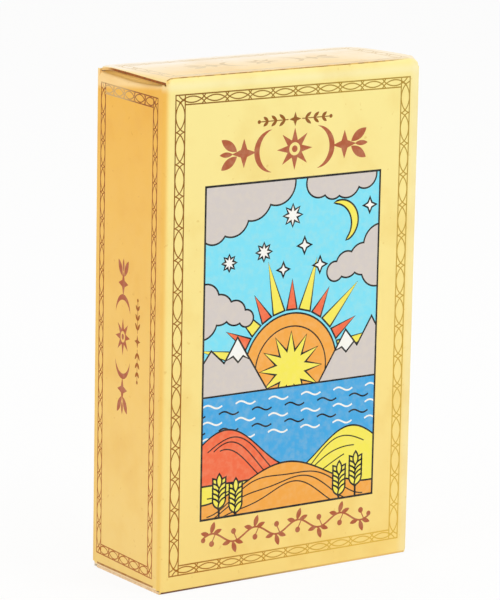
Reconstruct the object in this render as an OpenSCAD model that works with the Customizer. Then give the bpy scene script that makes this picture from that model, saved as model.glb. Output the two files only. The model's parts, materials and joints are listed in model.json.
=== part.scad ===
// Boxed pack of tarot cards: a paperboard carton with a tuck closure at each end, and the
// cards that stand in it. The carton stands on its bottom end and its front faces -Y.
// The origin is in the middle of the bottom. The carton is sized round the pack of cards.

/* [Cards] */
// Width of a card
card_w = 60; // [50:0.5:80]
// Height of a card
card_h = 101; // [85:0.5:140]
// Thickness of the card stock
card_t = 0.27; // [0.24:0.01:0.36]
// Air between one card and the next
card_air = 0.005; // [0.003:0.001:0.02]
// Radius of a card's corners
card_corner_r = 3; // [1:0.5:6]

/* [Room round the cards] */
// Room at each side of the cards
side_room = 1; // [0.8:0.1:3]
// Room between the first card and the front panel
front_room = 0.15; // [0.1:0.05:1]
// Room behind the last card, where the tuck tabs go in
tuck_room = 2.9; // [2.9:0.1:6]
// Room between the bottom dust flaps and the cards
floor_room = 0.15; // [0.1:0.05:0.3]
// Room over the cards, under the top dust flaps
head_room = 1.75; // [1.5:0.05:4]

/* [Carton board] */
// Thickness of the paperboard
board_t = 0.5; // [0.35:0.05:0.6]
// Outer radius of the upright corner folds
fold_r = 0.9; // [0.7:0.05:1.2]
// Gap that a turning panel keeps from the rounded crease it turns on
crease_gap = 0.05; // [0.03:0.01:0.1]
// Width of the glued seam flap
seam_w = 12; // [8:0.5:16]
// Distance that the seam flap's ends keep from the carton's ends
seam_inset = 5; // [3:0.5:10]
// Length of the slant at each end of the seam flap
seam_slant = 4; // [1:0.5:8]

/* [Lids and tuck tabs] */
// Distance that a lid's raw side edges are set in from the carton's sides
lid_inset = 0.35; // [0.2:0.05:0.8]
// Gap between a lid's rear fold and the back panel
tuck_gap = 0.2; // [0.15:0.05:0.4]
// Distance that the back panel's raw upper edge stays under the top of the lid
raw_edge_drop = 0.15; // [0.1:0.05:0.5]
// Length of a tuck tab
tab_len = 8.5; // [6:0.5:8.5]
// Lean of a tuck tab into the carton, in degrees
tab_lean = 13; // [12:0.5:13]
// Distance that a tuck tab's ends are set in from the lid's side edges
tab_inset = 1.5; // [1:0.25:4]
// Radius of a tuck tab's free corners
tab_corner_r = 5; // [2:0.5:5.5]

/* [Dust flaps] */
// Length of a dust flap from its crease to its free edge
flap_len = 18; // [12:0.5:24]
// Gap between a dust flap and the lid that closes over it
flap_gap = 0.05; // [0.03:0.01:0.15]
// Distance that a dust flap's front edge is set back at the crease
flap_front_inset = 0.3; // [0.2:0.05:1]
// Distance that a dust flap's rear edge keeps from the back panel's outside
flap_back_inset = 3.5; // [3.5:0.1:5]
// Set-back of the front edge for each unit of the flap's length
flap_slant_share = 0.56; // [0.54:0.01:0.6]
// Size of the cut at a dust flap's free rear corner
flap_corner_cut = 4; // [2:0.5:6]

/* [Hidden] */
$fn = 48;
over = 1;
trump_count = 22;
pip_count = 10;
suits = ["wands", "cups", "swords", "coins"];
courts = ["page", "knight", "queen", "king"];
suit_size = pip_count + len(courts);
card_count = trump_count + len(suits) * suit_size;

card_pitch = card_t + card_air;
pack_d = card_count * card_pitch;
box_w = card_w + 2 * side_room + 2 * board_t;
box_d = pack_d + front_room + tuck_room + 2 * board_t;
end_layers = 2 * board_t + flap_gap;
box_h = card_h + floor_room + head_room + 2 * end_layers;

// A crease's axis runs in the middle of the board, where two panels' middle planes cross.
half_t = board_t / 2;
front_y = -box_d / 2;
back_y = box_d / 2;
lid_axis_y = front_y + half_t;
lid_axis_z = box_h - half_t;
tab_axis_y = back_y - board_t - tuck_gap - half_t;
flap_axis_x = box_w / 2 - half_t;
flap_axis_z = box_h - board_t - flap_gap - half_t;
lid_w = box_w - 2 * lid_inset;
tab_w = lid_w - 2 * tab_inset;

cards_y = front_y + board_t + front_room;
cards_z = end_layers + floor_room;

paper = "ivory";
printed = "gold";

function trump_name(n) = str("trump_", n < 10 ? "0" : "", n);
function court_name(suit, rank) = str(suits[suit], "_", courts[rank]);
function pips_name(suit) = str(suits[suit], "_ace_to_ten");
function suit_start(suit) = trump_count + suit * suit_size;

trump_names = [for (n = [0 : trump_count - 1]) trump_name(n)];
pips_names = [for (s = [0 : len(suits) - 1]) pips_name(s)];
court_names = [for (s = [0 : len(suits) - 1], r = [0 : len(courts) - 1]) court_name(s, r)];
carton_names = [
    "front_panel", "back_panel", "left_side_panel", "right_side_panel", "corner_folds", "seam_flap",
    "top_lid", "top_tuck_tab", "top_dust_flap_left", "top_dust_flap_right",
    "bottom_lid", "bottom_tuck_tab", "bottom_dust_flap_left", "bottom_dust_flap_right"
];

// Rounded edge of the board along X, on a crease's axis.
module crease_along_x(width) {
    rotate([0, 90, 0]) cylinder(r = half_t, h = width, center = true);
}

// Rounded edge of the board along Y, on a crease's axis.
module crease_along_y(length) {
    rotate([90, 0, 0]) cylinder(r = half_t, h = length, center = true);
}

// Puts a shape made for the top end at the bottom end.
module at_bottom() {
    translate([0, 0, box_h]) mirror([0, 0, 1]) children();
}

// One end of the front panel, as wide as the lid, with the crease that the lid turns on.
module front_crease() {
    translate([0, lid_axis_y, lid_axis_z]) crease_along_x(lid_w);
    translate([-lid_w / 2, front_y, flap_axis_z]) cube([lid_w, board_t, lid_axis_z - flap_axis_z]);
}

module front_panel() {
    panel_w = box_w - 2 * fold_r;
    color(printed) {
        translate([-panel_w / 2, front_y, box_h - flap_axis_z])
            cube([panel_w, board_t, 2 * flap_axis_z - box_h]);
        front_crease();
        at_bottom() front_crease();
    }
}

module back_panel() {
    panel_w = box_w - 2 * fold_r;
    color(printed)
        translate([-panel_w / 2, back_y - board_t, 0])
            cube([panel_w, board_t, box_h - raw_edge_drop]);
}

// A side panel with a rounded crease at each end. It lies along Y and is centred on X.
module side_panel() {
    panel_d = box_d - 2 * fold_r;
    translate([-half_t, -panel_d / 2, box_h - flap_axis_z])
        cube([board_t, panel_d, 2 * flap_axis_z - box_h]);
    for (z = [box_h - flap_axis_z, flap_axis_z])
        translate([0, 0, z]) crease_along_y(panel_d);
}

module left_side_panel() {
    color(printed) translate([-flap_axis_x, 0, 0]) side_panel();
}

module right_side_panel() {
    color(printed) translate([flap_axis_x, 0, 0]) side_panel();
}

// Quarter ring of folded board that fills one upright corner of the carton.
module corner_fold() {
    fold_h = 2 * flap_axis_z - box_h;
    intersection() {
        difference() {
            cylinder(r = fold_r, h = fold_h);
            translate([0, 0, -over]) cylinder(r = fold_r - board_t, h = fold_h + 2 * over);
        }
        cube([fold_r, fold_r, fold_h]);
    }
}

module corner_folds() {
    color(printed)
        for (x = [0, 1], y = [0, 1])
            mirror([x, 0, 0]) mirror([0, y, 0])
                translate([box_w / 2 - fold_r, box_d / 2 - fold_r, box_h - flap_axis_z]) corner_fold();
}

// Flap glued inside the right side panel, slanted at both ends.
module seam_flap() {
    low = seam_inset;
    high = box_h - seam_inset;
    near = back_y - fold_r;
    far = near - seam_w;
    color(paper)
        translate([box_w / 2 - 2 * board_t, 0, 0]) rotate([90, 0, 90])
            linear_extrude(board_t)
                polygon([[near, low], [near, high], [far, high - seam_slant], [far, low + seam_slant]]);
}

// Lid with the crease along its rear edge that the tuck tab turns on.
module lid() {
    front_edge = lid_axis_y + half_t + crease_gap;
    translate([-lid_w / 2, front_edge, box_h - board_t])
        cube([lid_w, tab_axis_y - front_edge, board_t]);
    translate([0, tab_axis_y, lid_axis_z]) crease_along_x(tab_w);
}

// Outline of a tuck tab, hanging from its crease at the origin, with rounded free corners.
// Its upper edge stays under the lid although it leans.
module tab_outline() {
    shoulder = (half_t + crease_gap + half_t * sin(tab_lean)) / cos(tab_lean);
    corner_y = tab_corner_r - tab_len;
    translate([tab_corner_r - tab_w / 2, -tab_len])
        square([tab_w - 2 * tab_corner_r, tab_len - shoulder]);
    intersection() {
        translate([-tab_w / 2, -tab_len]) square([tab_w, tab_len - shoulder]);
        for (side = [-1, 1])
            translate([side * (tab_w / 2 - tab_corner_r), corner_y]) circle(r = tab_corner_r);
    }
    translate([-tab_w / 2, corner_y]) square([tab_w, -shoulder - corner_y]);
}

module tuck_tab() {
    translate([0, tab_axis_y, lid_axis_z]) rotate([90 - tab_lean, 0, 0])
        linear_extrude(board_t, center = true) tab_outline();
}

// Left dust flap. Its front edge slants back so that it stays under the rising lid.
module dust_flap() {
    start = half_t + crease_gap;
    front = front_y + fold_r + flap_front_inset;
    rear = back_y - flap_back_inset;
    translate([-flap_axis_x, 0, flap_axis_z])
        linear_extrude(board_t, center = true)
            polygon([
                [start, front],
                [flap_len, front + flap_slant_share * flap_len],
                [flap_len, rear - flap_corner_cut],
                [flap_len - flap_corner_cut, rear],
                [start, rear]
            ]);
}

module top_lid() {
    color(printed) lid();
}

module top_tuck_tab() {
    color(printed) tuck_tab();
}

module top_dust_flap_left() {
    color(paper) dust_flap();
}

module top_dust_flap_right() {
    color(paper) mirror([1, 0, 0]) dust_flap();
}

module bottom_lid() {
    color(printed) at_bottom() lid();
}

module bottom_tuck_tab() {
    color(printed) at_bottom() tuck_tab();
}

module bottom_dust_flap_left() {
    color(paper) at_bottom() dust_flap();
}

module bottom_dust_flap_right() {
    color(paper) at_bottom() mirror([1, 0, 0]) dust_flap();
}

// Outline of a card: a rectangle with rounded corners, standing on its lower edge.
module card_outline() {
    translate([card_corner_r - card_w / 2, 0]) square([card_w - 2 * card_corner_r, card_h]);
    translate([-card_w / 2, card_corner_r]) square([card_w, card_h - 2 * card_corner_r]);
    for (x = [card_corner_r - card_w / 2, card_w / 2 - card_corner_r])
        for (y = [card_corner_r, card_h - card_corner_r])
            translate([x, y]) circle(r = card_corner_r);
}

// One card in its place in the pack, counted from the front.
module card(place) {
    translate([0, cards_y + place * card_pitch + card_t, cards_z]) rotate([90, 0, 0])
        linear_extrude(card_t) card_outline();
}

module trump(n) {
    color("white") card(n);
}

// The ten pip cards of a suit, ace to ten.
module pips(suit) {
    color("white")
        for (n = [0 : pip_count - 1]) card(suit_start(suit) + n);
}

module court(suit, rank) {
    color("white") card(suit_start(suit) + pip_count + rank);
}

front_panel();
back_panel();
left_side_panel();
right_side_panel();
corner_folds();
seam_flap();
top_lid();
top_tuck_tab();
top_dust_flap_left();
top_dust_flap_right();
bottom_lid();
bottom_tuck_tab();
bottom_dust_flap_left();
bottom_dust_flap_right();
for (n = [0 : trump_count - 1])
    trump(n);
for (s = [0 : len(suits) - 1])
    pips(s);
for (s = [0 : len(suits) - 1], r = [0 : len(courts) - 1])
    court(s, r);
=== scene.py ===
import json
from math import atan2, cos, hypot, pi, radians, sin, sqrt

import bpy
from mathutils import Matrix, Vector
from mathutils.geometry import delaunay_2d_cdt


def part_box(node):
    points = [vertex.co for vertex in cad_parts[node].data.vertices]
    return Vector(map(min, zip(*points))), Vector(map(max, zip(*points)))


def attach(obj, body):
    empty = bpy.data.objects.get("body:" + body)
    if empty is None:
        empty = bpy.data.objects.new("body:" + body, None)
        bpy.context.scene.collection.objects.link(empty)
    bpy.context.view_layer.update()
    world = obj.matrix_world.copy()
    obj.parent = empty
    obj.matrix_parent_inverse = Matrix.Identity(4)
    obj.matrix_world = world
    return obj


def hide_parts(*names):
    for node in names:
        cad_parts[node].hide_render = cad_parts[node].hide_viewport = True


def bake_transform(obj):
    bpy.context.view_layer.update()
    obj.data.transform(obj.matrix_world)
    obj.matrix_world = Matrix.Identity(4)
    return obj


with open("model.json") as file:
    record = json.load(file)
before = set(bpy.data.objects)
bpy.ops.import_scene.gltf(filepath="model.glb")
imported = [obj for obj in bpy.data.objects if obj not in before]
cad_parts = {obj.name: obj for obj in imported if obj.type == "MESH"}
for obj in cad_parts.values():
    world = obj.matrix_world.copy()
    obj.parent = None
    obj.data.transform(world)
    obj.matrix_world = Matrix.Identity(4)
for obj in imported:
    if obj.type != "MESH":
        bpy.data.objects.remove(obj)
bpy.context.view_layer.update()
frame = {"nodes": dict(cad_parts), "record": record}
scene = bpy.context.scene
scene.view_settings.view_transform = "Standard"


# The camera: a long lens to the front left of the box and a little above it, so that the
# front, the left side and a sliver of the lid show. It is turned one degree to the right.
azimuth, rise, roll = radians(34.82), radians(11.75), radians(1.12)
aim, reach = Vector((-0.0006, 0.0012, 0.0557)), 0.7235

ahead = Vector((sin(azimuth) * cos(rise), cos(azimuth) * cos(rise), -sin(rise)))
level = Vector((cos(azimuth), -sin(azimuth), 0))
across = level * cos(roll) + level.cross(ahead) * sin(roll)
camera = bpy.data.objects.new("camera", bpy.data.cameras.new("camera"))
camera.data.lens = 208.54
camera.data.sensor_width = 36
camera.data.clip_start, camera.data.clip_end = 0.01, 20
camera.matrix_world = Matrix.Translation(aim - ahead * reach) @ Matrix(
    (across, across.cross(ahead), -ahead)
).transposed().to_4x4()
scene.collection.objects.link(camera)
scene.camera = camera


# The table: a wide sheet of white card that the box stands on, inside a white light tent.
# It shows as white, with only the faint shadow that the box leaves round its foot.
def add_node(tree, kind, inputs=None, **settings):
    """A shader node with its choices set and its inputs set or wired."""
    made = tree.nodes.new("ShaderNode" + kind)
    for choice, value in settings.items():
        setattr(made, choice, value)
    for socket, value in (inputs or {}).items():
        if isinstance(value, bpy.types.NodeSocket):
            tree.links.new(value, made.inputs[socket])
        else:
            made.inputs[socket].default_value = value
    return made


def worked(tree, operation, *values):
    """The result of one step of arithmetic."""
    return add_node(tree, "Math", dict(enumerate(values)), operation=operation).outputs[0]


def seen_directly(tree):
    """1 where the camera, a reflection or clear glass looks at it, and 0 where it lights the box."""
    path = add_node(tree, "LightPath").outputs
    shine = worked(tree, "MAXIMUM", path["Is Camera Ray"], path["Is Glossy Ray"])
    return worked(tree, "MAXIMUM", shine, path["Is Transmission Ray"])


table_half = 1.6
table_mesh = bpy.data.meshes.new("table")
table_mesh.from_pydata(
    [(x * table_half, y * table_half, 0) for x, y in ((-1, -1), (1, -1), (1, 1), (-1, 1))],
    [],
    [(0, 1, 2, 3)],
)
table = bpy.data.objects.new("table", table_mesh)
scene.collection.objects.link(table)
white_card = bpy.data.materials.new("white_card")
white_card.use_nodes = True
tree = white_card.node_tree
tree.nodes.remove(tree.nodes["Principled BSDF"])
matt = add_node(tree, "BsdfDiffuse", {"Color": (0.92, 0.92, 0.92, 1)})
glow = add_node(tree, "Emission", {"Color": (1, 1, 1, 1), "Strength": 1.0})
share = worked(tree, "MULTIPLY", seen_directly(tree), 0.9)
both = add_node(tree, "MixShader", {0: share, 1: matt.outputs[0], 2: glow.outputs[0]})
tree.links.new(both.outputs[0], tree.nodes["Material Output"].inputs["Surface"])
table_mesh.materials.append(white_card)

tent = bpy.data.worlds.new("light_tent")
scene.world = tent
tent.use_nodes = True
tree = tent.node_tree
tree.nodes.remove(tree.nodes["Background"])
lighting = add_node(tree, "Background", {"Color": (1, 0.985, 0.96, 1), "Strength": 0.675})
backdrop = add_node(tree, "Background", {"Color": (1, 1, 1, 1), "Strength": 1.0})
both = add_node(tree, "MixShader", {0: seen_directly(tree), 1: lighting.outputs[0], 2: backdrop.outputs[0]})
tree.links.new(both.outputs[0], tree.nodes["World Output"].inputs["Surface"])


box_middle = Vector((0, 0, 0.05))


def soft_lamp(name, place, size, power):
    """A square lamp behind white cloth, turned to the middle of the box."""
    lamp = bpy.data.objects.new(name, bpy.data.lights.new(name, "AREA"))
    lamp.data.size, lamp.data.energy = size, power
    lamp.location = place
    lamp.rotation_euler = (box_middle - Vector(place)).to_track_quat("-Z", "Y").to_euler()
    scene.collection.objects.link(lamp)


soft_lamp("lamp_front_right", (0.45, -0.75, 0.6), 0.5, 2.4)
soft_lamp("lamp_left", (-0.9, -0.15, 0.35), 0.5, 1.9)
soft_lamp("lamp_above", (0.1, 0.1, 1.0), 0.6, 1.7)


# The front panel: white-lined board, half a millimetre thick, printed in gold with a chain
# border, a coloured picture and rows of ornament, and varnished. It is part of the one
# folded blank, so its side edges run on round the corner folds and its ends into the lids.
mm = 0.001
half_w = -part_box("left_side_panel")[0].x / mm
half_d = -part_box("front_panel")[0].y / mm
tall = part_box("top_lid")[1].z / mm
board = (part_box("back_panel")[1].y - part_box("back_panel")[0].y) / mm
soft_corner, tight_corner = 1.2, 0.55
front_foot, front_top = 0.8, tall - 1.6


def screen(red, green, blue):
    """A colour in linear light, from its 0 to 255 screen values."""
    levels = [c / 255 for c in (red, green, blue)]
    return (*(c / 12.92 if c < 0.0405 else ((c + 0.055) / 1.055) ** 2.4 for c in levels), 1)


def blank_material(name):
    """A new material with its tree, its shader and the place on the object."""
    made = bpy.data.materials.new(name)
    made.use_nodes = True
    tree = made.node_tree
    return made, tree, tree.nodes["Principled BSDF"], add_node(tree, "TexCoord").outputs["Object"]


def noise(tree, place, scale, detail=3.0):
    """Grey cloud of that many blotches a metre."""
    return add_node(tree, "TexNoise", {"Vector": place, "Scale": scale, "Detail": detail}).outputs["Fac"]


def ramp(tree, value, low, high, to_low=0.0, to_high=1.0, kind="SMOOTHSTEP"):
    """A value between two limits, spread over another range."""
    return add_node(
        tree, "MapRange", {0: value, 1: low, 2: high, 3: to_low, 4: to_high}, interpolation_type=kind
    ).outputs[0]


def mixed(tree, share, first, second, blend="MIX"):
    """Two colours in shares."""
    return add_node(tree, "Mix", {0: share, 6: first, 7: second}, data_type="RGBA", blend_type=blend).outputs[2]


def multiplied(tree, first, *others):
    """The product of two or more values."""
    for other in others:
        first = worked(tree, "MULTIPLY", first, other)
    return first


def varnish(tree, shader, place, gloss=0.35):
    """Satin varnish over board: a little uneven in gloss, with the paper's fibres just felt under it."""
    tree.links.new(ramp(tree, noise(tree, place, 420), 0.3, 0.7, 0.38, 0.52), shader.inputs["Roughness"])
    fibres = noise(tree, place, 2600, 4)
    lift = add_node(tree, "Bump", {"Strength": 0.10, "Distance": 0.0001, "Height": fibres})
    tree.links.new(lift.outputs[0], shader.inputs["Normal"])
    shader.inputs["Specular IOR Level"].default_value = gloss


def gold_print():
    """The gold ground, its tones painted with the light: paler on the front and the lid, deeper on the sides, with
    painted shade and highlights along the folds and real mottling.
    """
    made, tree, shader, place = blank_material("gold_print")
    x, y, z = add_node(tree, "SeparateXYZ", {0: place}).outputs[:]

    def inside(value, half):
        """How far in from the box's faces."""
        return worked(tree, "SUBTRACT", half * mm, worked(tree, "ABSOLUTE", value))

    def between(value, low, high, to_low=0.0, to_high=1.0):
        """A ramp between two limits in millimetres."""
        return ramp(tree, value, low * mm, high * mm, to_low, to_high)

    from_side, from_front = inside(x, half_w), inside(y, half_d)
    # Painted highlight: the fold on the right-hand side is shifted towards the paler front tone.
    paler_right = between(x, -20, 20, 0.0, 1.4 * mm)
    round_fold = worked(tree, "ADD", worked(tree, "SUBTRACT", from_side, from_front), paler_right)
    # Painted light: the front paler and the sides a deeper gold, each changing with height, as the light falls on
    # each face.
    height = ramp(tree, z, 0.0, tall * mm, kind="LINEAR")
    face = mixed(tree, height, screen(253, 223, 133), screen(252, 236, 154))
    flank = mixed(tree, height, screen(248, 214, 128), screen(244, 185, 72))
    near_front = between(from_front, 1.0, 2.0, 1.0, 0.0)
    colour = mixed(tree, multiplied(tree, between(round_fold, -0.4, 1.4), near_front), flank, face)
    # Painted shade: a deeper gold band on the front and back beside each upright fold, strongest at the foot.
    before, beyond = between(round_fold, -1.5, -0.3), between(round_fold, -0.3, 0.7, 1.0, 0.0)
    crease = multiplied(tree, before, beyond, near_front, between(z, 0.0, tall, 0.65, 0.2))
    colour = mixed(tree, crease, colour, screen(242, 198, 94))
    # Painted highlight: a pale band on the front and back just below the top fold.
    below, above = between(z, tall - 2.4, tall - 0.9), between(z, tall - 0.9, tall + 0.6, 0.45, 0.0)
    colour = mixed(tree, multiplied(tree, below, above, near_front), colour, screen(255, 247, 200))
    # Painted highlight: the front and back paler along their right-hand edge.
    right_edge_highlight = between(x, half_w - 3.0, half_w - 1.0, 0.0, 0.4)
    colour = mixed(tree, multiplied(tree, right_edge_highlight, near_front), colour, screen(252, 242, 196))
    # Painted light: the tops of the bent-in dust flaps are painted pale as the highlight on their bends, and
    # brighter further in as the light in the gap under the lid.
    sloped = between(worked(tree, "MULTIPLY_ADD", y, 0.11, z), tall - 3.1, tall - 1.7)
    behind_front, before_back = between(y, 0.9 - half_d, 2.0 - half_d), between(y, half_d - 0.5, half_d - 0.1, 1, 0)
    bend_light_colour = mixed(tree, between(from_side, 0.3, 1.0), screen(255, 218, 152), screen(255, 214, 130))
    painted_bend_light = multiplied(tree, behind_front, before_back, sloped, 0.95)
    colour = mixed(tree, painted_bend_light, colour, bend_light_colour)
    # Painted highlight: pale cream low on the sides, where the bottom flaps bend in, for light thrown up from the
    # table.
    lower_bend_highlight = multiplied(tree, between(from_front, 0.9, 1.4), between(z, 0.9, 1.3, 0.9, 0.0))
    colour = mixed(tree, lower_bend_highlight, colour, screen(255, 230, 190))
    # Painted light: the lid's cream grows paler towards the back and the right, nearly white at the far corner,
    # with a painted yellow highlight along its left edge.
    lid_lit_tone = mixed(tree, between(y, -half_d, 0.3 * half_d), screen(252, 222, 160), screen(253, 232, 194))
    lid_lit_tone = mixed(tree, between(y, 0.0, 0.85 * half_d), lid_lit_tone, screen(255, 249, 240))
    lid_lit_tone = mixed(tree, between(x, 12, half_w, 0.0, 0.7), lid_lit_tone, screen(255, 244, 222))
    rim = between(x, 0.25 - half_w, 1.1 - half_w, 0.85, 0.0)
    lid_lit_tone = mixed(tree, rim, lid_lit_tone, screen(255, 228, 152))
    on_lid = multiplied(tree, between(z, tall - 0.5, tall - 0.1), between(from_front, 0.38, 0.65))
    colour = mixed(tree, on_lid, colour, lid_lit_tone)
    mottle = ramp(tree, noise(tree, place, 110, 5), 0.42, 0.75, 0.0, 0.55)
    colour = mixed(tree, mottle, colour, screen(247, 236, 214), "MULTIPLY")
    flecks = ramp(tree, noise(tree, place, 700, 2), 0.67, 0.76, 0.0, 0.5)
    colour = mixed(tree, flecks, colour, screen(232, 214, 178), "MULTIPLY")
    tree.links.new(colour, shader.inputs["Base Color"])
    varnish(tree, shader, place)
    return made


def ink(name, colour, uneven=0.10, low=None, right_highlight=None):
    """One printed ink, a little uneven in strength, under the same varnish. Low is its tone at the foot, and
    right_highlight its painted highlight tones at the top and the foot of the right-hand side."""
    made, tree, shader, place = blank_material(name)
    full = screen(*colour)
    if low:
        x, _, z = add_node(tree, "SeparateXYZ", {0: place}).outputs[:]
        height = ramp(tree, z, 0.0, tall * mm, kind="LINEAR")
        full = mixed(tree, height, screen(*low), full)
    if right_highlight:
        pale = mixed(tree, height, screen(*right_highlight[1]), screen(*right_highlight[0]))
        full = mixed(tree, ramp(tree, x, -24 * mm, 14 * mm, kind="LINEAR"), full, pale)
    thin = ramp(tree, noise(tree, place, 900, 4), 0.35, 0.75, 0.0, uneven)
    tree.links.new(mixed(tree, thin, full, screen(252, 236, 190)), shader.inputs["Base Color"])
    varnish(tree, shader, place, 0.2)
    return made


def raw_board(name, dark, pale, rear=None):
    """Unprinted board, faintly fibrous. Rear is its tone towards the back of the box."""
    made, tree, shader, place = blank_material(name)
    fibres = noise(tree, place, 1500, 6)
    colour = mixed(tree, ramp(tree, fibres, 0.3, 0.7), screen(*dark), screen(*pale))
    if rear:
        back = ramp(tree, add_node(tree, "SeparateXYZ", {0: place}).outputs[1], 6.5 * mm, 10.0 * mm)
        colour = mixed(tree, back, colour, screen(*rear))
    tree.links.new(colour, shader.inputs["Base Color"])
    tree.links.new(ramp(tree, fibres, 0.3, 0.7, 0.75, 0.9), shader.inputs["Roughness"])
    lift = add_node(tree, "Bump", {"Strength": 0.12, "Distance": 0.0001, "Height": fibres})
    tree.links.new(lift.outputs[0], shader.inputs["Normal"])
    return made


gold, raw = gold_print(), raw_board("raw_board", (236, 226, 206), (248, 242, 230))
# The border's brown line: a tone of its own at the foot, and painted paler towards the right as a highlight.
line_brown = ink("line_brown", (134, 86, 4), 0.05, (170, 108, 24), ((172, 138, 46), (228, 184, 66)))
row_brown = ink("row_brown", (146, 88, 26), 0.05)
ornament_rust = ink("ornament_rust", (178, 92, 58))
outline_black = ink("outline_black", (24, 26, 30), 0.05)
sky_blue = ink("sky_blue", (128, 228, 250))
cloud_grey = ink("cloud_grey", (214, 206, 202))
sun_orange = ink("sun_orange", (248, 172, 74))
ray_yellow = ink("ray_yellow", (250, 238, 92))
hill_red = ink("hill_red", (246, 112, 72))
sea_blue = ink("sea_blue", (70, 172, 232))
star_white = ink("star_white", (250, 250, 246))


def stroke(path, width):
    """The edge of a pen line drawn along a path."""
    left, right = [], []
    for i, (x, y) in enumerate(path):
        (ax, ay), (bx, by) = path[max(i - 1, 0)], path[min(i + 1, len(path) - 1)]
        long = hypot(bx - ax, by - ay)
        nx, ny = (ay - by) / long * width / 2, (bx - ax) / long * width / 2
        left.append((x + nx, y + ny))
        right.append((x - nx, y - ny))
    return right + left[::-1]


def bar(x0, y0, x1, y1):
    return [(x0, y0), (x1, y0), (x1, y1), (x0, y1)]


def disc(x, y, r, sides=36):
    return [(x + r * cos(2 * pi * i / sides), y + r * sin(2 * pi * i / sides)) for i in range(sides)]


def star(x, y, tip, waist, points, turn=pi / 2):
    return [
        (x + r * cos(turn + pi * i / points), y + r * sin(turn + pi * i / points))
        for i in range(2 * points)
        for r in [waist if i % 2 else tip]
    ]


def turned(points, x, y, turn):
    """Points turned about their origin and set down at a place."""
    return [(x + px * cos(turn) - py * sin(turn), y + px * sin(turn) + py * cos(turn)) for px, py in points]


def crescent(x, y, r, turn, bite=0.42, sides=22):
    """A young moon whose back points along turn."""
    inner, tip = r * sqrt(1 + bite * bite), atan2(1, bite)
    back = [(r * cos(a), r * sin(a)) for a in [pi / 2 - pi * i / sides for i in range(sides + 1)]]
    swings = [tip * (2 * i / sides - 1) for i in range(1, sides)]
    hollow = [(-bite * r + inner * cos(a), inner * sin(a)) for a in swings]
    return turned(back + hollow, x, y, turn)


def leaf(x, y, long, wide, turn, sides=10):
    """A pointed leaf from its stalk end."""
    steps = [i / sides for i in range(sides + 1)]
    upper = [(long * s, wide / 2 * sin(pi * s) ** 0.8) for s in steps]
    return turned([(px, -py) for px, py in upper] + upper[-2:0:-1], x, y, turn)


def chain_border(x0, x1, y0, y1, upright, flat, cells_across, cells_up, pen=0.28, flat_peak=0.62):
    """A border of two rails all round, with crossing arcs between them that make a row of eyes."""
    in0, in1 = x0 + upright - pen, x1 - upright + pen
    shapes = [
        bar(x0, y0, x0 + pen, y1), bar(x1 - pen, y0, x1, y1),
        bar(x0, y0, x1, y0 + pen), bar(x0, y1 - pen, x1, y1),
        bar(in0, y0, in0 + pen, y1), bar(in1 - pen, y0, in1, y1),
        bar(in0, y0 + flat - pen, in1, y0 + flat), bar(in0, y1 - flat, in1, y1 - flat + pen),
    ]
    runs = [
        (x0 + upright / 2, x1 - upright / 2, cells_across, middle, (flat - pen) / 2, flat_peak, 0.57, False)
        for middle in (y0 + flat / 2, y1 - flat / 2)
    ] + [
        (y0 + flat / 2, y1 - flat / 2, cells_up, middle, (upright - pen) / 2, 0.95, 0.51, True)
        for middle in (x0 + upright / 2, x1 - upright / 2)
    ]
    for start, end, cells, middle, half, peak, share, up in runs:
        pitch = (end - start) / cells
        for cell in range(cells):
            centre, reach = start + (cell + 0.5) * pitch, share * pitch
            for side in (1, -1):
                path = []
                for i in range(21):
                    s = -1 + i / 10
                    bow = peak - 1.25 * s * s - (peak - 0.33) * s**8
                    along, off = centre + s * reach, middle + side * half * bow
                    path.append((off, along) if up else (along, off))
                shapes.append(stroke(path, pen * 0.9))
    return shapes


def bold_row(ink_used, ground):
    """A bold row of stars, moons and leaves about the middle, 36.7 wide and 8.8 high."""
    row = [(ink_used, star(0, 0, 4.4, 1.9, 8)), (ground, disc(0, 0, 1.35)), (ink_used, disc(0, 0, 0.7, 20))]
    for side in (-1, 1):
        out = 0 if side > 0 else pi
        row += [
            (ink_used, crescent(side * 5.6, 0, 4.4, out, 0.36)),
            (ink_used, star(side * 12.5, 0, 3.0, 1.1, 4)),
            (ink_used, leaf(side * 14.2, 0.5, 4.6, 1.9, out + side * radians(34))),
            (ink_used, leaf(side * 14.2, -0.5, 4.6, 1.9, out - side * radians(34))),
            (ink_used, leaf(side * 15.2, 0, 3.2, 1.1, out)),
        ]
    return row


def small_row(ink_used):
    """A fine row of lozenges and leaves, 18 wide and 3 high."""
    row = [(ink_used, star(0, 0, 1.5, 0.55, 4))]
    for side in (-1, 1):
        out = 0 if side > 0 else pi
        row += [(ink_used, stroke([(side * 1.7, 0), (side * 8.9, 0)], 0.22))]
        for i, long in enumerate((2.0, 1.8, 1.6)):
            for up in (-1, 1):
                row.append((ink_used, leaf(side * (2.4 + 2.1 * i), 0, long, 0.7, out + side * up * radians(38))))
        row.append((ink_used, disc(side * 8.9, 0, 0.4, 16)))
    return row


def vine_row(ink_used):
    """A waving vine with leaves and berries, 43 wide and 5 high."""
    wave, high = 10.8, 1.15
    path = [(x / 10, high * sin(2 * pi * x / 10 / wave)) for x in range(-210, 211, 4)]
    row = [(ink_used, stroke(path, 0.4))]
    for i in range(-4, 4):
        middle, up = (i + 0.5) * wave / 2, 1 if i % 2 == 0 else -1
        row += [
            (ink_used, leaf(middle - 0.2, up * high, 2.6, 1.15, up * radians(72))),
            (ink_used, leaf(middle + 0.3, up * high * 0.9, 2.3, 0.95, up * radians(20))),
            (ink_used, leaf(middle - 0.6, up * high * 0.9, 2.2, 0.95, pi - up * radians(14))),
            (ink_used, disc(middle, -up * 1.0, 0.62, 20)),
            (ink_used, stroke([(middle, -up * 0.8), (middle + 0.9, up * 1.0)], 0.25)),
        ]
    for side in (-1, 1):
        row.append((ink_used, disc(side * 21.0, 0, 0.55, 18)))
    return row


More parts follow.
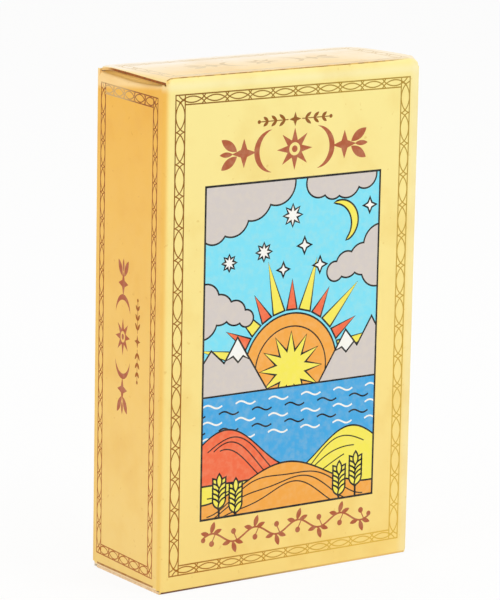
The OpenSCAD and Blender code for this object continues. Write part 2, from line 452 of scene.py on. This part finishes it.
def moved(prints, x, y, across=1.0, up=1.0, quarter_turn=False):
    """Prints set down at a place, stretched, and turned to run downwards if asked."""
    done = []
    for ink_used, shape in prints:
        points = [(px * across, py * up) for px, py in shape]
        if quarter_turn:
            points = [(py, -px) for px, py in points]
        done.append((ink_used, [(x + px, y + py) for px, py in points]))
    return done


def cropped(shape, x0, y0, x1, y1):
    """The part of a shape inside a box."""
    for axis, limit, keep in ((0, x0, 1), (0, x1, -1), (1, y0, 1), (1, y1, -1)):
        kept = []
        for a, b in zip(shape, shape[1:] + shape[:1]):
            da, db = (a[axis] - limit) * keep, (b[axis] - limit) * keep
            if da >= 0:
                kept.append(a)
            if (da > 0 > db) or (da < 0 < db):
                t = da / (da - db)
                kept.append((a[0] + (b[0] - a[0]) * t, a[1] + (b[1] - a[1]) * t))
        shape = kept
        if len(shape) < 3:
            return []
    return shape


def winding(shape):
    """Twice the area of a shape, above 0 where it runs anticlockwise."""
    return sum(a[0] * b[1] - b[0] * a[1] for a, b in zip(shape, shape[1:] + shape[:1]))


def grown(shape, by):
    """A shape with its edge moved outwards."""
    way, done = (1 if winding(shape) > 0 else -1), []
    for i, (x, y) in enumerate(shape):
        (ax, ay), (bx, by_) = shape[i - 1], shape[(i + 1) % len(shape)]
        la, lb = hypot(x - ax, y - ay), hypot(bx - x, by_ - y)
        n1, n2 = ((y - ay) / la, (ax - x) / la), ((by_ - y) / lb, (x - bx) / lb)
        sx, sy = n1[0] + n2[0], n1[1] + n2[1]
        size = max((sx * sx + sy * sy) / 2, 0.35)
        done.append((x + way * by * sx / size, y + way * by * sy / size))
    return done


def sunrise(width, height):
    """The picture: a sun rising from the sea behind hills, under banks of cloud, a moon and stars."""
    drawn, line = [], 0.38

    def outlined(fill, shape):
        drawn.extend([(outline_black, grown(shape, line)), (fill, shape)])

    def clouds(puffs):
        drawn.extend((outline_black, disc(x, y, r + line, 40)) for x, y, r in puffs)
        drawn.extend((cloud_grey, disc(x, y, r, 40)) for x, y, r in puffs)

    mid, sea = width / 2, 25.5
    sun = sea + 4
    drawn.append((sky_blue, bar(0, 0, width, height)))
    rays, ray_from = 24, 12.6
    for i in range(rays):
        turn = 2 * pi * i / rays
        far, wide = (23.5, 0.10) if i % 2 else (18.5, 0.085)
        tip = (mid + far * cos(turn), sun + far * sin(turn))
        base = [(mid + ray_from * cos(turn + w), sun + ray_from * sin(turn + w)) for w in (-wide, wide)]
        outlined(ray_yellow if i % 2 else hill_red, [base[0], tip, base[1]])
    outlined(sun_orange, disc(mid, sun, 11.4, 64))
    drawn.append((outline_black, disc(mid, sun, 9.0, 60)))
    drawn.append((sun_orange, disc(mid, sun, 8.7, 60)))
    outlined(ray_yellow, star(mid, sun, 7.6, 3.4, 12))
    clouds([(2, 60.5, 3.2), (6.5, 62.5, 4.0), (11.5, 66, 4.6), (17.5, 68.5, 4.4), (1, 66, 6), (8, 69, 5)])
    clouds([(43, 48.5, 3.6), (39.5, 50.8, 3.2), (35.5, 50.0, 2.6), (44, 53.5, 4.2), (32.5, 48.8, 1.9)])
    clouds([(-0.5, 41.5, 3.6), (3.8, 43.6, 3.0), (7.6, 42.6, 2.4), (0.5, 46.0, 3.0), (10.4, 41.2, 1.6)])
    clouds([(28, 67.8, 3.0), (31.5, 66.6, 2.4), (35, 67.4, 3.2), (39.6, 68.6, 2.8), (31, 70.5, 4)])
    outlined(ray_yellow, crescent(33.6, 59.2, 4.3, pi * 0.12))
    for x, y, tip in (
        (21.5, 61.5, 2.1), (24.6, 55.0, 1.3), (14.5, 54.5, 1.7), (41.0, 62.0, 1.2),
        (19.4, 50.4, 1.1), (6.0, 53.0, 1.5), (28.6, 50.6, 1.3),
    ):
        outlined(star_white, star(x, y, tip, tip * 0.42, 4 if tip < 1.4 else 8))
    for slopes, snow in (
        (
            [(-6, -1), (2.0, 9.5), (5.2, 6.6), (8.4, 11.6), (16.5, -1)],
            [(8.4, 11.6), (5.9, 7.6), (7.4, 8.3), (8.6, 7.0), (9.8, 8.2), (11.0, 7.4)],
        ),
        (
            [(28.4, -1), (35.6, 10.4), (38.6, 6.8), (42.2, 12.6), (50, -1)],
            [(35.6, 10.4), (33.3, 6.7), (34.7, 7.3), (35.8, 6.2), (36.8, 7.2), (37.6, 8.0)],
        ),
    ):
        outlined(cloud_grey, [(x, sea + y) for x, y in slopes])
        outlined(star_white, [(x, sea + y) for x, y in snow])
    drawn.append((outline_black, bar(-2, -2, width + 2, sea + line)))
    drawn.append((sea_blue, bar(-2, -2, width + 2, sea)))
    for row in range(5):
        for k in range(-1, 7):
            x, y = k * 8.2 + (row % 2) * 4.1, sea - 1.9 - row * 1.75
            path = [(x + i * 0.35, y + 0.42 * sin(pi * i / 7)) for i in range(15)]
            drawn.append(((star_white, outline_black)[row % 2], stroke(path, 0.36)))
    for fill, base, peak, middle, spread in (
        (hill_red, 11.0, 9.6, 6.0, 17.0),
        (ray_yellow, 9.0, 8.4, 37.5, 16.0),
        (sun_orange, 4.6, 6.6, 21.0, 21.0),
    ):
        crest = [
            (x / 2, base + peak * (0.5 + 0.5 * cos(pi * min(1, abs(x / 2 - middle) / spread))) - peak * 0.25)
            for x in range(-4, int(width * 2) + 6)
        ]
        drawn.append((outline_black, [(x, y + line) for x, y in crest] + [(width + 3, -3), (-3, -3)]))
        drawn.append((fill, crest + [(width + 3, -3), (-3, -3)]))
        for furrow in range(1, 4):
            ploughed = crest[4 + 3 * furrow : -4 - 5 * furrow]
            cut = [(x, y - 1.6 * furrow - 0.9 * sin(x / 3.1 + furrow)) for x, y in ploughed]
            drawn.append((outline_black, stroke(cut, 0.26)))
    for x, high in ((4.5, 6.6), (8.6, 5.2), (34.8, 5.4), (39.0, 7.0)):
        drawn.append((outline_black, stroke([(x, -1), (x, high)], 0.5)))
        for k in range(5):
            for side in (-1, 1):
                outlined(ray_yellow, leaf(x, high - 0.2 - 1.05 * k, 2.3, 0.85, pi / 2 - side * radians(38)))
        outlined(ray_yellow, leaf(x, high, 2.4, 0.9, pi / 2))
    return drawn


def board_piece(name, points, faces, slots, finishes):
    """A piece of board from points in millimetres. Each face has the finish of its slot."""
    mesh = bpy.data.meshes.new(name)
    mesh.from_pydata([Vector(p) * mm for p in points], [], faces)
    for finish in finishes:
        mesh.materials.append(finish)
    mesh.polygons.foreach_set("material_index", slots)
    mesh.shade_smooth()
    mesh.set_sharp_from_angle(angle=radians(40))
    piece = bpy.data.objects.new(name, mesh)
    scene.collection.objects.link(piece)
    return piece


def printed_board(name, outline, prints, lie, bends=(), cut_edge=None):
    """Board cut to an outline. Its outer face is split along the edge of every print, the last on top."""

    def cut(shapes):
        spots, loops = [], []
        for shape in shapes:
            loop = list(range(len(spots), len(spots) + len(shape)))
            loops.append(loop if winding(shape) > 0 else loop[::-1])
            spots += shape
        lines = []
        for a, b in bends:
            lines.append((len(spots), len(spots) + 1))
            spots += [a, b]
        return delaunay_2d_cdt([Vector(s) for s in spots], lines, loops, 1, 1e-5)

    def along_edge(result):
        """Where each point of the outline has gone."""
        return {i: k for k, olds in enumerate(result[3]) for i in olds if i < len(outline)}

    if winding(outline) < 0:
        outline = outline[::-1]
    finishes = [gold, raw, cut_edge or raw] + list(dict.fromkeys(ink_used for ink_used, _ in prints))
    face, back = cut([outline] + [shape for _, shape in prints]), cut([outline])
    points = [lie(u, v, 0) for u, v in face[0]] + [lie(u, v, board) for u, v in back[0]]
    first, outer, inner = len(face[0]), along_edge(face), along_edge(back)
    faces = [list(f) for f in face[2]]
    slots = [finishes.index(prints[max(o) - 1][0]) if max(o, default=0) else 0 for o in face[5]]
    faces += [[first + i for i in reversed(f)] for f in back[2]]
    slots += [1] * len(back[2])
    for i in range(len(outline)):
        j = (i + 1) % len(outline)
        faces.append([outer[i], first + inner[i], first + inner[j], outer[j]])
        slots.append(2)
    return board_piece(name, points, faces, slots, finishes)


picture_box = (-21.56, 14.32, 21.93, 83.42)
picture = [
    (ink_used, inside)
    for ink_used, shape in sunrise(picture_box[2] - picture_box[0], picture_box[3] - picture_box[1])
    for inside in [cropped([(x + picture_box[0], y + picture_box[1]) for x, y in shape], *picture_box)]
    if inside
]
px0, pz0, px1, pz1 = picture_box
out, over = 0.2, 0.25
frame_line = [
    bar(px0 - out, pz0 - out, px0 + over, pz1 + out), bar(px1 - over, pz0 - out, px1 + out, pz1 + out),
    bar(px0 - out, pz0 - out, px1 + out, pz0 + over), bar(px0 - out, pz1 - over, px1 + out, pz1 + out),
]
border = chain_border(-29.2, 29.12, 3.45, 102.57, 2.5, 2.28, 10, 15)
front_prints = [(line_brown, shape) for shape in border]
front_prints += picture + [(outline_black, shape) for shape in frame_line]
front_prints += moved(bold_row(ornament_rust, gold), 0.03, 89.55)
front_prints += moved(small_row(row_brown), 0.03, 95.67)
front_prints += moved(vine_row(ornament_rust), 0.2, 10.05)
front_board = printed_board(
    "front_board",
    bar(-half_w + soft_corner, front_foot, half_w - tight_corner, front_top),
    front_prints,
    lambda u, v, deep: (u, -half_d + deep, v),
)
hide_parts("front_panel")
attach(front_board, "carton")


# The two side panels: the same board, their gold painted deeper as the shade on the sides, each with its own chain
# border and the rows of ornament turned to run downwards. Top and bottom, they bend in as the dust flaps.
flap_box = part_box("top_dust_flap_left")
flap_front, flap_back = flap_box[0].y / mm, flap_box[1].y / mm
flap_near = max(flap_front, 0.1 + soft_corner - half_d)
crease_back = 11.7
soft_from = tall - 2.65
side_notch, side_foot = tall - 0.55, 0.9
back_notch, back_foot = tall - 0.05, 1.3
side_brown = ink("side_brown", (148, 74, 0), 0.05, (176, 96, 12))
askew, sheen_from = 0.027, 99.0


def fading_ink(name, axis, start, end, first, last, blotch=None):
    """Ink that fades from one tone to another along an axis. Blotch is a second tone where it begins."""
    made, tree, shader, place = blank_material(name)
    fade = ramp(tree, add_node(tree, "SeparateXYZ", {0: place}).outputs[axis], start * mm, end * mm)
    full = screen(*first)
    if blotch:
        full = mixed(tree, ramp(tree, noise(tree, place, 500), 0.40, 0.62), full, screen(*blotch))
    tree.links.new(mixed(tree, fade, full, screen(*last)), shader.inputs["Base Color"])
    varnish(tree, shader, place)
    return made


# Painted sheen: the top row of eyes on each side panel is printed paler towards the back, where the soft bend
# catches the light.
sheen_brown = fading_ink("sheen_brown", 1, -4, 4, (148, 74, 0), (206, 168, 112))
border = chain_border(-11.11, 10.13, 3.05, 102.05, 1.85, 2.3, 5, 18, 0.25, 0.76)
side_prints = [(sheen_brown if min(v for _, v in shape) > sheen_from else side_brown, shape) for shape in border]
side_prints = [(ink_used, [(u, v - askew * u) for u, v in shape]) for ink_used, shape in side_prints]
side_prints += moved(bold_row(ornament_rust, gold), -1.88, 51.1, 0.883, 0.615, True)
side_prints += moved(small_row(side_brown), 3.61, 51.1, 0.955, 0.72, True)
for side, name in ((-1, "left"), (1, "right")):
    front, back = (soft_corner if side < 0 else tight_corner) - half_d, half_d - tight_corner
    near, far = flap_near, crease_back
    low, high = tall - soft_from, soft_from
    seen_from_left = [
        (-back, back_foot), (-far, back_foot), (-far, low), (-near, low),
        (-near, side_foot), (-front, side_foot), (-front, side_notch), (-near, side_notch),
        (-near, high), (-far, high), (-far, back_notch), (-back, back_notch),
    ]
    if side < 0:
        outline, prints = seen_from_left, side_prints
    else:
        outline = [(-u, v) for u, v in reversed(seen_from_left)]
        prints = [(ink_used, [(-u, tall - v + 0.1) for u, v in shape]) for ink_used, shape in side_prints]
    side_board = printed_board(
        f"{name}_side_board",
        outline,
        prints,
        lambda u, v, deep, s=side: (s * (half_w - deep), s * u, v),
        cut_edge=gold,
    )
    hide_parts(f"{name}_side_panel")
    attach(side_board, "carton")


# The back panel: the same board with the chain border round a bare gold field. Its top and
# bottom edges are cut, and the tuck tabs slide down behind them.
back_low, back_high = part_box("back_panel")[0].z / mm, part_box("back_panel")[1].z / mm
back_board = printed_board(
    "back_board",
    bar(tight_corner - half_w, back_low, half_w - tight_corner, back_high),
    [(line_brown, shape) for shape in chain_border(-29.1, 29.1, 3.4, 101.6, 2.48, 2.48, 10, 15)],
    lambda u, v, deep: (-u, half_d - deep, v),
)
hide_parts("back_panel")
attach(back_board, "carton")


# The four upright corner folds: the board scored and bent round. They are one with the panels
# beside them. The front left one has been handled most, and its bend is the softest.
fold_steps = 12


def curled_board(name, rows, way=1, cut_edge=None, line=None, line_rows=()):
    """Board bent round a crease, from rows of points on its outer face, with a line printed along some."""
    high, wide = len(rows), len(rows[0])
    outer = [[Vector(p) for p in row] for row in rows]
    points, under = [p for row in outer for p in row], []
    for i in range(high):
        for j in range(wide):
            along = outer[min(i + 1, high - 1)][j] - outer[max(i - 1, 0)][j]
            over = outer[i][min(j + 1, wide - 1)] - outer[i][max(j - 1, 0)]
            under.append(outer[i][j] - along.cross(over).normalized() * board * way)
    first, faces, slots = len(points), [], []
    for i in range(high - 1):
        for j in range(wide - 1):
            a, b, c, d = i * wide + j, (i + 1) * wide + j, (i + 1) * wide + j + 1, i * wide + j + 1
            faces += [[a, b, c, d], [first + d, first + c, first + b, first + a]]
            slots += [3 if i in line_rows and 1 <= j < wide - 2 else 0, 1]
    rim = list(range(wide)) + [i * wide + wide - 1 for i in range(1, high)]
    rim += [(high - 1) * wide + j for j in range(wide - 2, -1, -1)] + [i * wide for i in range(high - 2, 0, -1)]
    for a, b in zip(rim, rim[1:] + rim[:1]):
        faces.append([a, b, first + b, first + a])
        slots.append(2)
    if way < 0:
        faces = [f[::-1] for f in faces]
    return board_piece(name, points + under, faces, slots, [gold, raw, cut_edge or gold, line or gold])


fold_low, fold_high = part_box("corner_folds")[0].z / mm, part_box("corner_folds")[1].z / mm
for right, back, name in (
    (-1, -1, "front_left"), (1, -1, "front_right"), (-1, 1, "back_left"), (1, 1, "back_right"),
):
    rows, bend = [], soft_corner if name == "front_left" else tight_corner
    side_low, side_high = (side_foot, side_notch) if back < 0 else (back_foot, back_notch)
    for i in range(fold_steps + 1):
        turn = pi / 2 * i / fold_steps
        x, y = right * (half_w - bend * (1 - sin(turn))), back * (half_d - bend * (1 - cos(turn)))
        foot = fold_low + (side_low - fold_low) * min(max((i - 10) / 2, 0), 1) if back < 0 else side_low
        head = fold_high + (side_high - fold_high) * min(max((i - 7) / 3, 0), 1)
        rows.append([(x, y, foot), (x, y, tall / 2), (x, y, head)])
    corner_fold = curled_board(f"{name}_corner_fold", rows, -right * back)
    if name == "front_left":
        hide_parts("corner_folds")
    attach(corner_fold, "carton")


# The two lids, top and bottom: each runs on from the front panel over a soft crease and ends
# in a second crease at the tuck tab. The top one is sprung up in the middle by its own bend.
lid_set_in = 0.35
lid_half = half_w - lid_set_in
tab_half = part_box("top_tuck_tab")[1].x / mm
tab_lean = radians(13)
tab_axis_y = half_d - 0.95
tuck_bend = 0.55
bend_back = (tuck_bend - board / 2) * (1 + sin(tab_lean)) / cos(tab_lean)
lid_back = tab_axis_y - bend_back


def lid_spring(x, y):
    """How far the top lid stands above the box."""
    back = min(max((y + half_d) / (tab_axis_y + half_d), 0), 1)
    across = x / lid_half
    to_left, to_right = max(-across, 0) ** 80, max(across, 0) ** 6
    middle = 1.02 + 0.12 * across - 0.32 * back
    left_end = 0.55 * sin(pi / 2 * back) ** 1.5 * (1 - max((back - 0.8) / 0.2, 0) ** 2)
    right_end = 0.5 + 0.9 * max(cos(pi / 2 * back), 0) ** 0.6
    rounded = max((across - 0.93) / 0.07, 0) ** 2 * max(1 - back / 0.1, 0)
    return (middle * (1 - to_left - to_right) + left_end * to_left + right_end * to_right) * (1 - rounded)


lid_line = ink("lid_line", (226, 200, 156), 0.3)
# The line along the top front crease, painted pale towards its right-hand end as a highlight.
fold_line = fading_ink("fold_line", 0, 22, 30.5, (158, 108, 28), (252, 236, 172), (214, 170, 74))
# Painted shadow: a dark brown line along the bottom front crease, darkest at the left and fading to gold towards
# the right, for the shade under the box's foot.
foot_shadow_line = fading_ink("foot_shadow_line", 0, -26, 20, (118, 70, 34), (246, 206, 118))
# The lids' cut edges: the top one brown for the board's core and painted darker for the shade under the lid's edge,
# paler towards the back; the bottom one the same board, painted a pale cream for the light thrown up from the
# table.
brown_core_and_shade = raw_board("brown_core_and_shade", (128, 66, 8), (172, 98, 24), (236, 190, 118))
table_lit_cream = raw_board("table_lit_cream", (236, 200, 156), (250, 224, 186))
for up, name in ((1, "top"), (-1, "bottom")):
    spring = lid_spring if up > 0 else lambda x, y: 0.0
    lid_front, crease_from = (-half_d + 0.75, front_top) if up > 0 else (-half_d + 0.5, tall - front_foot)

    def upright(x, y, z, end=up):
        """The bottom end is the top end turned over."""
        return (x, y, z if end > 0 else tall - z)

    def lid_place(u, v, deep, end=up):
        return (u, v, tall + lid_spring(u, v) - deep) if end > 0 else (u, -v, deep)

    steps = [lid_front + (lid_back - lid_front) * i / 14 for i in range(15)]
    ribs = [lid_half * sin(pi / 2 * (i / 12 - 1)) for i in range(25)]
    outline = [(x, lid_front) for x in ribs] + [(lid_half, y) for y in steps[1:]]
    outline += [(x, lid_back) for x in ribs[-2::-1]] + [(-lid_half, y) for y in steps[-2:0:-1]]
    bends = [((-lid_half, y), (lid_half, y)) for y in steps[1:-1]]
    for x in ribs[1:-1]:
        bends += [((x, lid_front), (x, steps[-2])), ((x, steps[-2]), (x, lid_back))]
    if up > 0:
        border = chain_border(-29.4, 29.4, lid_front + 0.15, 9.6, 2.3, 2.1, 10, 4, 0.34)
        prints = [(lid_line, shape) for shape in border]
        prints += moved(bold_row(lid_line, gold), 0, -0.6, 1.0, 0.8)
        cut_edge = brown_core_and_shade
    else:
        outline = [(u, -v) for u, v in reversed(outline)]
        bends = [((a[0], -a[1]), (b[0], -b[1])) for a, b in bends]
        prints, cut_edge = [], table_lit_cream
    lid_board = printed_board(f"{name}_lid_board", outline, prints, lid_place, bends, cut_edge)
    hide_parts(f"{name}_lid")
    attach(lid_board, f"{name}_lid")

    rows = []
    for i in range(fold_steps + 1):
        turn, row = pi / 2 * i / fold_steps, []
        for x in ribs:
            corner = soft_corner if x < 0 else tight_corner
            beyond = max(abs(x) - half_w + corner, 0)
            tuck_in = (corner - sqrt(corner**2 - beyond**2)) * (1 - i / fold_steps)
            y = -half_d + tuck_in + (lid_front + half_d) * (1 - cos(turn))
            z = crease_from + (tall + spring(x, lid_front) - crease_from) * sin(turn)
            row.append(upright(x, y, z))
        rows.append(row)
    line, line_rows = (fold_line, range(9, 11)) if up > 0 else (foot_shadow_line, range(3, 12))
    front_crease = curled_board(f"{name}_front_crease", rows, -up, None, line, line_rows)
    start, end = upright(0, -half_d, max(tall - 0.9, crease_from)), upright(0, lid_front, tall)
    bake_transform(front_crease)

    rows = []
    for i in range(fold_steps + 1):
        turn, row = pi / 2 - (pi / 2 + tab_lean) * i / fold_steps, []
        narrower = 1 + (tab_half / lid_half - 1) * (i / fold_steps) ** 1.2
        for x in ribs:
            y, z = lid_back + tuck_bend * cos(turn), tall - tuck_bend + tuck_bend * sin(turn)
            row.append(upright(x * narrower, y, z + spring(x, lid_back) * (1 - i / fold_steps) ** 1.5))
        rows.append(row)
    tuck_crease = curled_board(f"{name}_tuck_crease", rows, -up, brown_core_and_shade if up > 0 else raw)
    start = upright(0, lid_back, tall)
    end = upright(0, lid_back + tuck_bend * cos(tab_lean), tall - tuck_bend - tuck_bend * sin(tab_lean))
    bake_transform(tuck_crease)


# The tuck tabs: the last panel of each lid, with rounded corners. Each slides down behind the
# back panel and leans in a little, which holds its lid shut.
tab_axis_z = tall - board / 2
tab_from = bend_back * sin(tab_lean) + (tuck_bend - board / 2) * cos(tab_lean)
tab_to = (tab_axis_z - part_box("top_tuck_tab")[0].z / mm - board / 2 * sin(tab_lean)) / cos(tab_lean)
tab_round = 5.0
for up, name in ((1, "top"), (-1, "bottom")):
    outline = [(tab_half, -tab_from), (-tab_half, -tab_from)]
    for side in (-1, 1):
        for i in range(9):
            turn = pi / 2 * (i if side < 0 else 8 - i) / 8
            outline.append(
                (side * (tab_half - tab_round * (1 - cos(turn))), -tab_to + tab_round * (1 - sin(turn)))
            )

    def lean(u, v, deep, end=up):
        """The tab's flat pattern set leaning below its crease."""
        out = board / 2 - deep
        z = tab_axis_z + v * cos(tab_lean) - out * sin(tab_lean)
        return (-end * u, tab_axis_y + v * sin(tab_lean) + out * cos(tab_lean), z if end > 0 else tall - z)

    tuck_tab = printed_board(f"{name}_tab_board", outline, [], lean)
    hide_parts(f"{name}_tuck_tab")
    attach(tuck_tab, f"{name}_tuck_tab")


# The four dust flaps: the side panels' ends, bent in under the lids. The top bends are soft
# and dip in the middle, which leaves a narrow gap under the lid's cut edge.
flap_top = flap_box[1].z / mm
flap_long, flap_cut = 18, 4
flap_tip = half_w - board / 2 - flap_long
flap_root = half_w - 3.4
flap_bend, bottom_bend, dip = 0.9, 0.52, 0.7
slant = 0.5695
bend_from, bend_to = 4, 13
inward = (0.07, 0.15, 0.23, 0.32, 0.6, 1.0)
flat_from = 0.32
inner_back, taper = 11.3, 2.1
# Painted shadow: a brown line along one row of each bottom flap's bend, for the shade where the side panel turns
# in.
crease_shadow_brown = ink("crease_shadow_brown", (172, 112, 40), 0.2)


def dip_at(c):
    """The share of the dip along a top flap's bend, from its front end to its back end."""
    return sin(pi * c**0.75) + 0.25 * c**6 - 0.18 * max((c - 0.9) / 0.1, 0) ** 2


for up, end in ((1, "top"), (-1, "bottom")):
    for side, name in ((-1, "left"), (1, "right")):
        rows = []
        for i in range(bend_to + len(inward)):
            row = []
            for j in range(25):
                c = j / 24
                bump = dip_at(c) if up > 0 else 0.1 * c**60 - 0.04
                top = flap_top - dip * bump
                bend = flap_bend + 0.1 * bump if up > 0 else bottom_bend
                if i < bend_from:
                    x, z = half_w, soft_from + (top - bend - soft_from) * i / bend_from
                elif i < bend_to:
                    turn = pi / 2 * (i - bend_from) / (bend_to - bend_from - 1)
                    x, z = half_w - bend * (1 - cos(turn)), top - bend * (1 - sin(turn))
                else:
                    t = inward[i - bend_to]
                    rise = min(t / flat_from, 1)
                    lift = 0.35 * max((c - 0.7) / 0.3, 0) * min((1 - t) / (1 - flat_from), 1) if up > 0 else 0
                    x = half_w - bend + (flap_root - half_w + bend) * t
                    z = top + (dip * bump + lift) * rise * rise * (3 - 2 * rise)
                near = flap_near + slant * max(half_w - board - x, 0)
                widest = crease_back if i < bend_to else inner_back
                far = flap_back + (widest - flap_back) * min((x - flap_root) / taper, 1)
                y = near + (far - near) * c
                row.append((side * x, y, z if up > 0 else tall - z))
            rows.append(row)
        score_rows = () if up > 0 else (3,)
        flap_crease = curled_board(f"{end}_{name}_flap_crease", rows, -side * up, None, crease_shadow_brown, score_rows)
        start = Vector((side * half_w, 0, flap_top - 1.45)) * mm
        stop = Vector((side * (half_w - 1.8), 0, flap_top)) * mm
        if up < 0:
            start.z, stop.z = tall * mm - start.z, tall * mm - stop.z
        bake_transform(flap_crease)

        near = flap_near + slant * (half_w - board - flap_root)
        tip_front = flap_front + slant * (half_w - board - flap_tip)
        outline = [
            (flap_root, near), (flap_root, flap_back), (flap_tip + flap_cut, flap_back),
            (flap_tip, flap_back - flap_cut), (flap_tip, tip_front),
        ]
        outline = [(side * x, up * y) for x, y in outline]
        dust_flap = printed_board(
            f"{end}_{name}_flap_board",
            outline,
            [],
            lambda u, v, deep, way=up: (u, way * v, flap_top - deep if way > 0 else tall - flap_top + deep),
        )
        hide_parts(f"{end}_dust_flap_{name}")
        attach(dust_flap, f"{end}_dust_flap_{name}")


# The seam flap: a strip of the blank glued flat inside the right side panel, which closes the
# sleeve. Only its raw white face shows, and only from inside.
for slot in frame["nodes"]["seam_flap"].material_slots:
    slot.material = raw


# The cards: seventy-eight of white stock, rounded at the corners and stacked on edge. From
# above, only their cut edges show. Each face has a framed field and each back a blue lattice.
card_low, card_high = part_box("trump_00")
pack = frame["record"]["behaviour"]["bodies"]["pack_of_cards"]
pack_low = min(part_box(name)[0].y for name in pack)
card_pitch = 0.000275
lattice_pitch = 0.004


def off_middle(tree, value):
    """How far a value lies from the middle between two whole numbers."""
    return worked(tree, "ABSOLUTE", worked(tree, "SUBTRACT", worked(tree, "FRACT", value), 0.5))


card_stock, tree, shader, place = blank_material("card_stock")
x, y, z = add_node(tree, "SeparateXYZ", {0: place}).outputs[:]
facing = add_node(tree, "SeparateXYZ", {0: tree.nodes["Texture Coordinate"].outputs["Normal"]}).outputs[1]
count = worked(tree, "DIVIDE", worked(tree, "SUBTRACT", y, pack_low), card_pitch)
which = worked(tree, "FLOOR", count)
tone = add_node(tree, "TexWhiteNoise", {"W": which}, noise_dimensions="1D").outputs["Value"]
edge = mixed(tree, tone, screen(226, 218, 202), screen(250, 246, 238))
# Painted shade: a dark line where each card meets the next.
shade_between_cards = ramp(tree, off_middle(tree, count), 0.36, 0.5, 0.0, 0.75)
edge = mixed(tree, shade_between_cards, edge, screen(120, 104, 86))
off_x = worked(tree, "ABSOLUTE", x)
off_z = worked(tree, "ABSOLUTE", worked(tree, "SUBTRACT", z, (card_low.z + card_high.z) / 2))
inset = multiplied(tree, ramp(tree, off_x, 0.0264, 0.0266, 1.0, 0.0), ramp(tree, off_z, 0.0469, 0.0471, 1.0, 0.0))
lattice_lines = []
for sign in ("ADD", "SUBTRACT"):
    diagonal = worked(tree, "DIVIDE", worked(tree, sign, x, z), lattice_pitch)
    lattice_lines.append(ramp(tree, off_middle(tree, diagonal), 0.36, 0.40))
lattice = worked(tree, "MAXIMUM", *lattice_lines)
paper_white = screen(248, 243, 232)
blue_field = mixed(tree, inset, paper_white, screen(58, 92, 156))
back_print = mixed(tree, multiplied(tree, lattice, inset), blue_field, screen(236, 236, 230))
face_print = mixed(tree, inset, paper_white, screen(246, 226, 150))
on_face = ramp(tree, worked(tree, "ABSOLUTE", facing), 0.5, 0.6)
printed_side = mixed(tree, ramp(tree, facing, -0.1, 0.1), face_print, back_print)
tree.links.new(mixed(tree, on_face, edge, printed_side), shader.inputs["Base Color"])
tree.links.new(ramp(tree, noise(tree, place, 900), 0.3, 0.7, 0.5, 0.65), shader.inputs["Roughness"])
linen = add_node(tree, "Bump", {"Strength": 0.1, "Distance": 0.0001, "Height": noise(tree, place, 3000, 4)})
tree.links.new(linen.outputs[0], shader.inputs["Normal"])
for name in pack:
    for slot in frame["nodes"][name].material_slots:
        slot.material = card_stock
